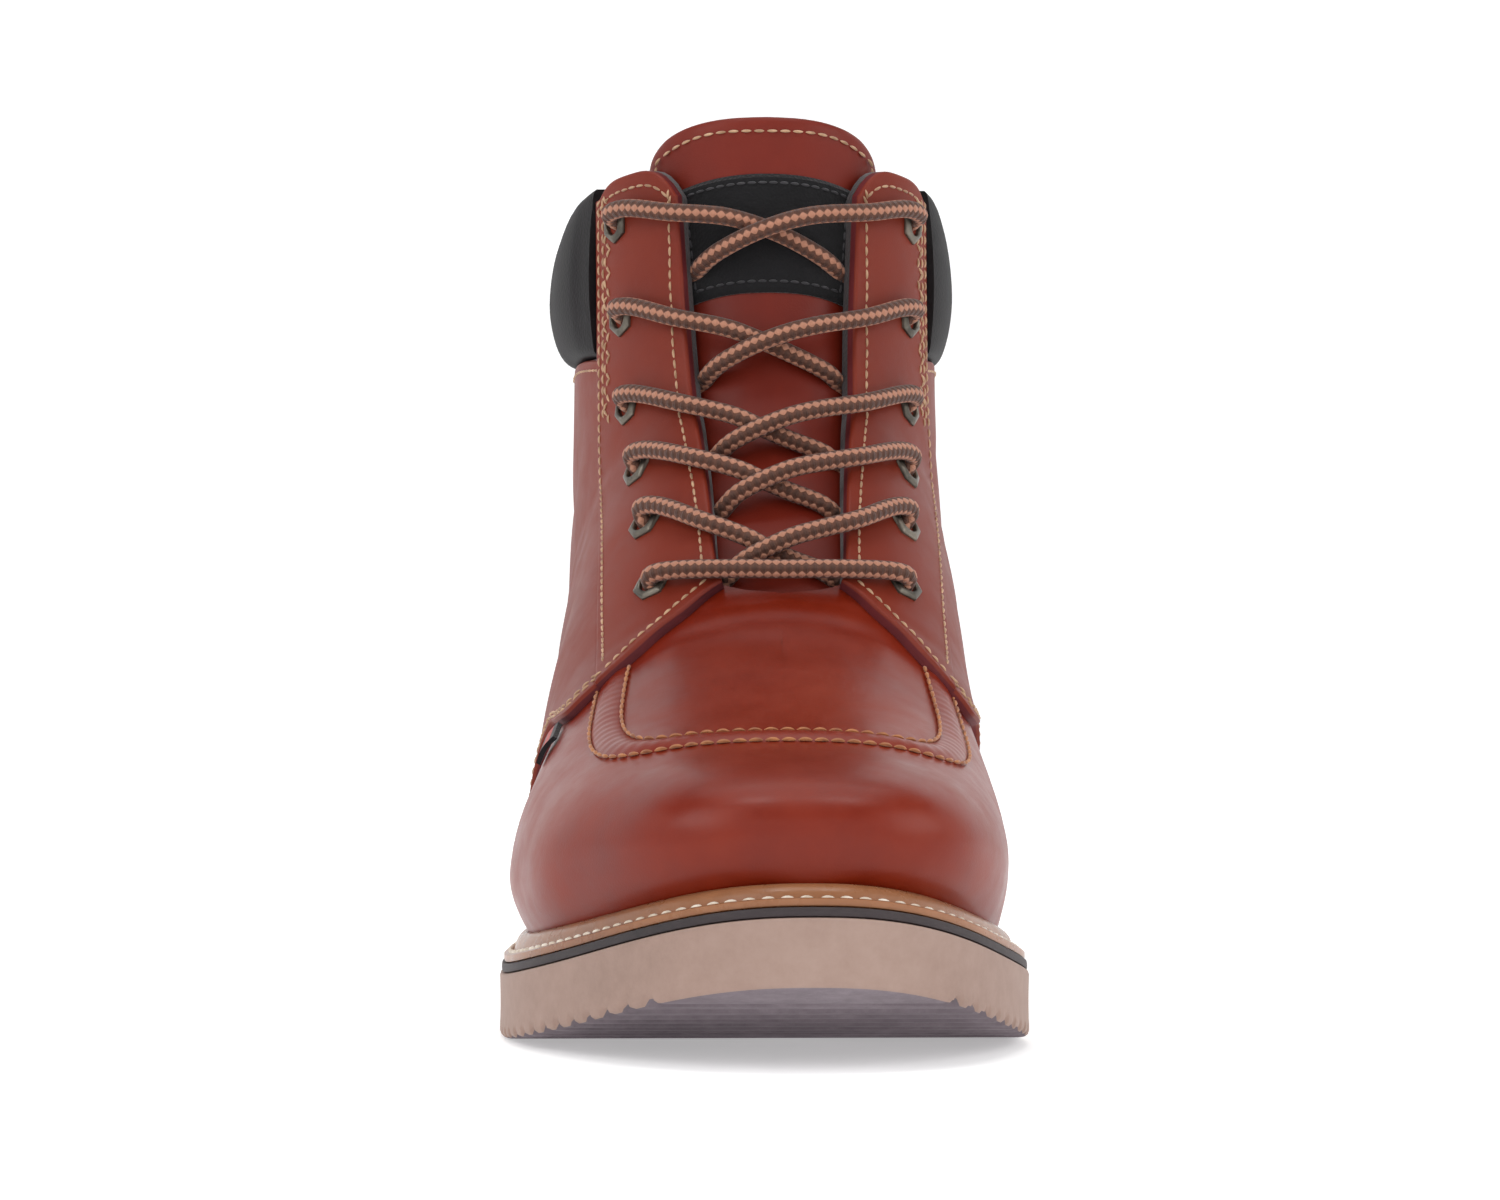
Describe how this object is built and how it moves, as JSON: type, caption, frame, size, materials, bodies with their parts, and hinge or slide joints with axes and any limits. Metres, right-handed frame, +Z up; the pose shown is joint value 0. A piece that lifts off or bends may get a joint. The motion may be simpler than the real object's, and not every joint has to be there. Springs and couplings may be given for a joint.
{
  "type": "work boot",
  "caption": "Ankle-high lace-up work boot with a moc-toe leather upper, padded collar, tongue and flat wedge sole; one right shoe.",
  "frame": {"origin": "centre of the sole's footprint box, on the floor it stands on", "axes": "+Z up, -Y towards the toe, +Y towards the heel, +X towards the inner (medial) side of the right foot"},
  "size_m": [0.1137, 0.304, 0.2124],
  "materials": {
    "outsole_rubber": "matt cream polyurethane",
    "midsole_rubber": "matt dark brown",
    "welt_leather": "polished tan",
    "insole_foam": "woven cover on foam",
    "vamp_leather": "smooth oiled red-brown leather",
    "quarter_leather": "smooth oiled red-brown leather",
    "collar_lining": "soft black padded cover",
    "patch_cloth": "black woven, bare",
    "tag_cloth": "black woven, bare",
    "eyelet_metal": "dark gunmetal",
    "lace_cord": "round braided cord, brown with pale diamonds"
  },
  "bodies": {
    "root": {"outsole": "outsole_rubber", "midsole": "midsole_rubber", "welt": "welt_leather", "insole": "insole_foam", "upper": "vamp_leather", "quarter_lateral": "quarter_leather", "quarter_medial": "quarter_leather", "eyestay_lateral": "quarter_leather", "eyestay_medial": "quarter_leather", "collar_pad": "collar_lining", "moc_seam": "vamp_leather", "tongue": "vamp_leather", "tongue_patch": "patch_cloth", "side_tag": "tag_cloth", "eyelet_lateral_1": "eyelet_metal", "eyelet_lateral_2": "eyelet_metal", "eyelet_lateral_3": "eyelet_metal", "eyelet_lateral_4": "eyelet_metal", "eyelet_lateral_5": "eyelet_metal", "eyelet_lateral_6": "eyelet_metal", "eyelet_medial_1": "eyelet_metal", "eyelet_medial_2": "eyelet_metal", "eyelet_medial_3": "eyelet_metal", "eyelet_medial_4": "eyelet_metal", "eyelet_medial_5": "eyelet_metal", "eyelet_medial_6": "eyelet_metal", "lace_crossing_1": "lace_cord", "lace_crossing_2": "lace_cord", "lace_crossing_3": "lace_cord", "lace_crossing_4": "lace_cord", "lace_crossing_5": "lace_cord", "lace_bar": "lace_cord"}
  },
  "joints": []
}
